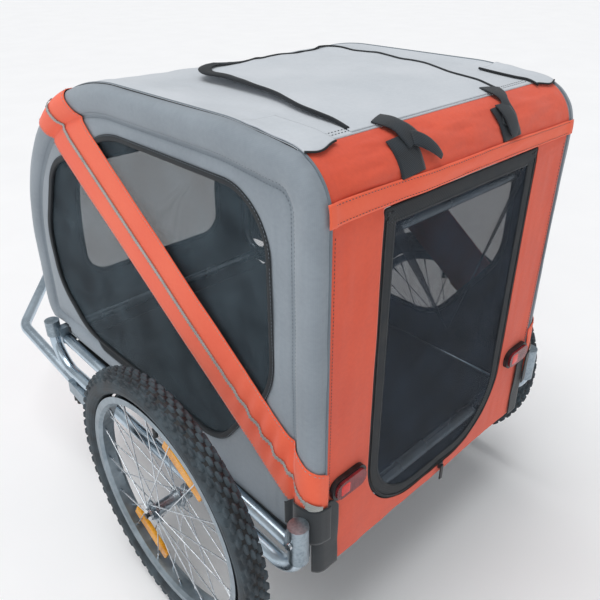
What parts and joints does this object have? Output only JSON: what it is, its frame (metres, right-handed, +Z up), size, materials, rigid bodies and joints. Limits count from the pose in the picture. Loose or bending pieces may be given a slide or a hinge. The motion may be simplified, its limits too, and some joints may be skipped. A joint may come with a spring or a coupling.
{
  "type": "bicycle trailer",
  "caption": "Two-wheeled bicycle trailer: steel-tube frame, soft mesh-windowed cabin with rear mesh door, rain flap, spoked wheels and cranked side tow arm.",
  "frame": {"origin": "on the ground, at the middle of the whole length and width", "axes": "+X right, +Y forward in the direction of travel, +Z up"},
  "size_m": [0.863, 1.5688, 0.9197],
  "materials": {
    "frame_steel": "bright zinc-plated tube",
    "bracket_steel": "galvanised pressed steel",
    "bolt_steel": "bright zinc",
    "grey_cloth": "grey coated polyester",
    "roof_cloth": "pale grey coated polyester",
    "orange_cloth": "orange coated polyester",
    "band_cloth": "bright orange band with reflective line",
    "black_cloth": "black binding and floor cloth",
    "mesh": "knitted polyester mesh",
    "webbing": "black webbing",
    "tyre_rubber": "knobbly tread",
    "tube_rubber": "butyl",
    "rim_alloy": "satin",
    "spoke_steel": "drawn wire",
    "hub_steel": "plated",
    "bearing_steel": "ground",
    "amber_lens": "moulded reflector",
    "red_lens": "moulded reflector",
    "black_plastic": "moulded"
  },
  "bodies": {
    "chassis": {"left_lower_tube": "frame_steel", "left_hoop": "frame_steel", "left_side_panel": "grey_cloth", "left_side_band": "band_cloth", "right_lower_tube": "frame_steel", "right_hoop": "frame_steel", "right_side_panel": "grey_cloth", "right_side_band": "band_cloth", "floor_rails": "frame_steel", "rear_brackets": "bracket_steel", "front_brackets": "bracket_steel", "axle_sleeves": "bracket_steel", "axles": "bolt_steel", "window_meshes": "mesh", "corner_trims": "black_cloth", "reflector_cases": "black_plastic", "reflector_lenses": "red_lens", "axle_cross_tube": "frame_steel", "bracket_bolts": "bolt_steel", "floor_panel": "black_cloth", "arm_receiver": "bracket_steel", "arm_pivot_bolt": "bolt_steel", "roof_panel": "roof_cloth", "rear_panel": "orange_cloth", "front_panel": "orange_cloth", "front_mesh": "mesh", "rear_band": "band_cloth", "rear_cross_tube": "frame_steel", "front_cross_tube": "frame_steel", "roof_bars": "frame_steel", "bar_clips": "black_plastic", "hold_straps": "webbing"},
    "left_wheel": {"left_tyre": "tyre_rubber", "left_inner_tube": "tube_rubber", "left_rim": "rim_alloy", "left_spokes": "spoke_steel", "left_hub": "hub_steel", "left_bearings": "bearing_steel", "left_spoke_reflectors": "amber_lens", "left_valve": "black_plastic"},
    "left_button": {"left_release_button": "black_plastic"},
    "right_wheel": {"right_tyre": "tyre_rubber", "right_inner_tube": "tube_rubber", "right_rim": "rim_alloy", "right_spokes": "spoke_steel", "right_hub": "hub_steel", "right_bearings": "bearing_steel", "right_spoke_reflectors": "amber_lens", "right_valve": "black_plastic"},
    "right_button": {"right_release_button": "black_plastic"},
    "tow_arm_body": {"tow_arm": "frame_steel"},
    "knob": {"clamp_knob": "black_plastic"},
    "swivel": {"hitch_swivel": "bracket_steel", "hitch_pin": "bolt_steel"},
    "tongue": {"hitch_tongue": "bracket_steel"},
    "door": {"rear_door": "mesh", "zip_slider": "black_plastic"},
    "pull_tab": {"zip_pull": "black_plastic"},
    "flap_upper": {"rain_flap_root": "roof_cloth"},
    "flap_lower": {"rain_flap": "roof_cloth"}
  },
  "joints": [
    {"name": "left_wheel_spin", "type": "hinge", "parent": "chassis", "child": "left_wheel", "pos_m": [-0.391, -0.5009, 0.257], "axis": [1, 0, 0], "continuous": true},
    {"name": "left_axle_release", "type": "slide", "parent": "chassis", "child": "left_button", "axis": [1, 0, 0], "range_m": [0, 0.0018], "stiffness_N_per_m": 600},
    {"name": "right_wheel_spin", "type": "hinge", "parent": "chassis", "child": "right_wheel", "pos_m": [0.391, -0.5009, 0.257], "axis": [1, 0, 0], "continuous": true},
    {"name": "right_axle_release", "type": "slide", "parent": "chassis", "child": "right_button", "axis": [-1, 0, 0], "range_m": [0, 0.0018], "stiffness_N_per_m": 600},
    {"name": "tow_arm_swing", "type": "hinge", "parent": "chassis", "child": "tow_arm_body", "pos_m": [-0.326, -0.1159, 0.217], "axis": [0, 0.1219, -0.9925], "range_deg": [0, 72]},
    {"name": "clamp_knob_turn", "type": "hinge", "parent": "chassis", "child": "knob", "pos_m": [-0.326, -0.04795, 0.20519], "axis": [0, -0.1219, 0.9925], "range_deg": [-180, 180]},
    {"name": "hitch_roll", "type": "hinge", "parent": "tow_arm_body", "child": "swivel", "pos_m": [-0.026, 0.70791, 0.31815], "axis": [0, 0.9925, 0.1219], "range_deg": [-40, 40]},
    {"name": "hitch_yaw", "type": "hinge", "parent": "swivel", "child": "tongue", "pos_m": [-0.026, 0.7357, 0.32156], "axis": [0, -0.1219, 0.9925], "range_deg": [-60, 60]},
    {"name": "rear_door_swing", "type": "hinge", "parent": "chassis", "child": "door", "pos_m": [0, -0.7715, 0.817], "axis": [-1, 0, 0], "range_deg": [0, 100]},
    {"name": "zip_pull_flip", "type": "hinge", "parent": "door", "child": "pull_tab", "pos_m": [0.02, -0.7787, 0.2625], "axis": [-1, 0, 0], "range_deg": [0, 80]},
    {"name": "rain_flap_close", "type": "hinge", "parent": "chassis", "child": "flap_upper", "pos_m": [0, -0.7099, 0.9075], "axis": [-1, 0, 0], "range_deg": [-188, 0]},
    {"name": "rain_flap_drop", "type": "hinge", "parent": "flap_upper", "child": "flap_lower", "pos_m": [0, -0.6049, 0.9197], "axis": [-1, 0, 0], "range_deg": [-78.5, 0]}
  ],
  "couplings": [
    {"joint": "rain_flap_drop", "follows": "rain_flap_close", "ratio": 0.41489}
  ]
}
